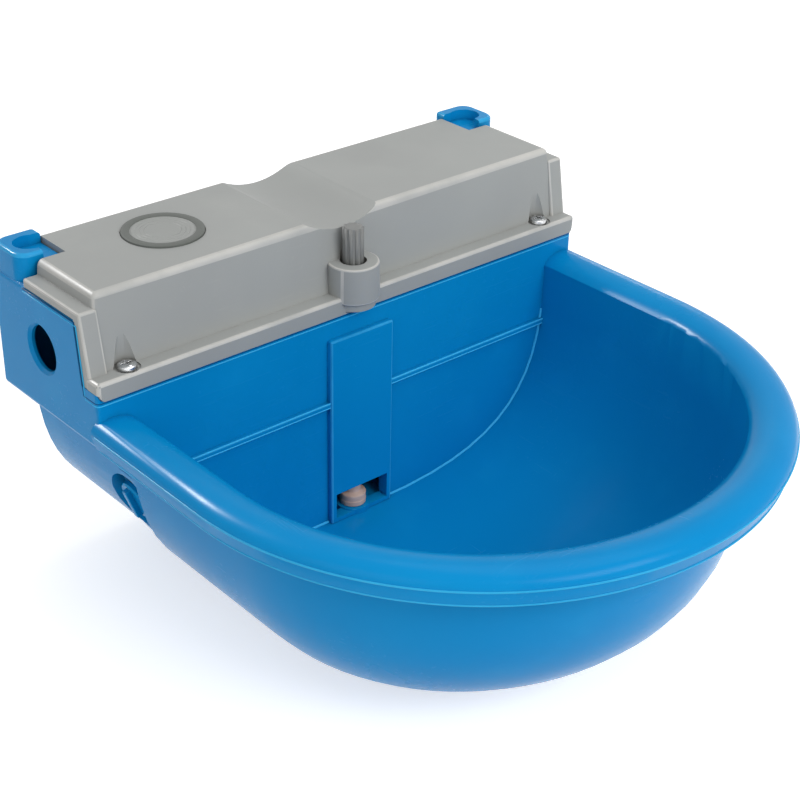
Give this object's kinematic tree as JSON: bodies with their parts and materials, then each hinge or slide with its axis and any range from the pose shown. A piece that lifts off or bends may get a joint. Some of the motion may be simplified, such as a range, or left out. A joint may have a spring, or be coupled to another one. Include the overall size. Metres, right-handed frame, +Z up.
{
  "type": "float drinking bowl",
  "caption": "Wall-hung livestock drinking bowl with a covered float chamber, lever float valve, side inlet, drain stopper on a pull rod and side port plug.",
  "frame": {"origin": "on the flat back of the housing that lies on the wall, on its centre line, level with the bottom edge of the housing's cheeks", "axes": "+X along the housing, to the right as seen from the front, +Y into the wall, +Z up; the bowl reaches out along -Y and the water inlet is on the -X side"},
  "size_m": [0.306, 0.319, 0.1805],
  "materials": {
    "blue_plastic": "glossy injection-moulded blue plastic",
    "grey_plastic": "satin light grey moulded plastic",
    "badge_plastic": "matt dark grey disc, unmarked",
    "white_plastic": "off-white acetal-like plastic",
    "float_foam": "closed-cell float block, matt",
    "black_rubber": "matt black rubber",
    "pale_rubber": "matt beige-pink rubber",
    "brass": "machined brass",
    "steel": "bright stainless steel"
  },
  "bodies": {
    "housing": {"bowl_body": "blue_plastic", "cover": "grey_plastic", "cover_badge": "badge_plastic", "cover_screw_left": "steel", "cover_screw_right": "steel", "side_port_seal": "black_rubber", "valve_body": "brass", "valve_lock_nut": "brass", "valve_gasket": "black_rubber", "inlet_strainer": "white_plastic", "valve_nozzle": "white_plastic", "outlet_tube": "white_plastic", "lever_pivot_pin": "steel"},
    "float_arm": {"float_lever": "white_plastic", "float_stem": "steel", "float_clamp_nut": "steel", "level_nut_lower": "steel", "level_nut_upper": "steel", "float": "float_foam"},
    "piston": {"valve_piston": "white_plastic", "piston_seal": "black_rubber"},
    "drain_pull": {"drain_knob": "grey_plastic", "drain_rod": "steel", "drain_stopper": "pale_rubber"},
    "port_plug": {"side_port_plug": "blue_plastic"}
  },
  "joints": [
    {"name": "float_hinge", "type": "hinge", "parent": "housing", "child": "float_arm", "pos_m": [-0.012, -0.041, 0.021], "axis": [0, -1, 0], "range_deg": [0, 22]},
    {"name": "piston_slide", "type": "slide", "parent": "housing", "child": "piston", "axis": [-1, 0, 0], "range_m": [0, 0.005]},
    {"name": "drain_lift", "type": "slide", "parent": "housing", "child": "drain_pull", "axis": [0, 0, 1], "range_m": [0, 0.0065]},
    {"name": "port_plug_turn", "type": "hinge", "parent": "housing", "child": "port_plug", "pos_m": [-0.12726, -0.072, -0.044], "axis": [-0.9347, 0, -0.3555], "range_deg": [0, 90]}
  ],
  "couplings": [
    {"joint": "piston_slide", "follows": "float_hinge", "m_per_rad": 0.013}
  ]
}
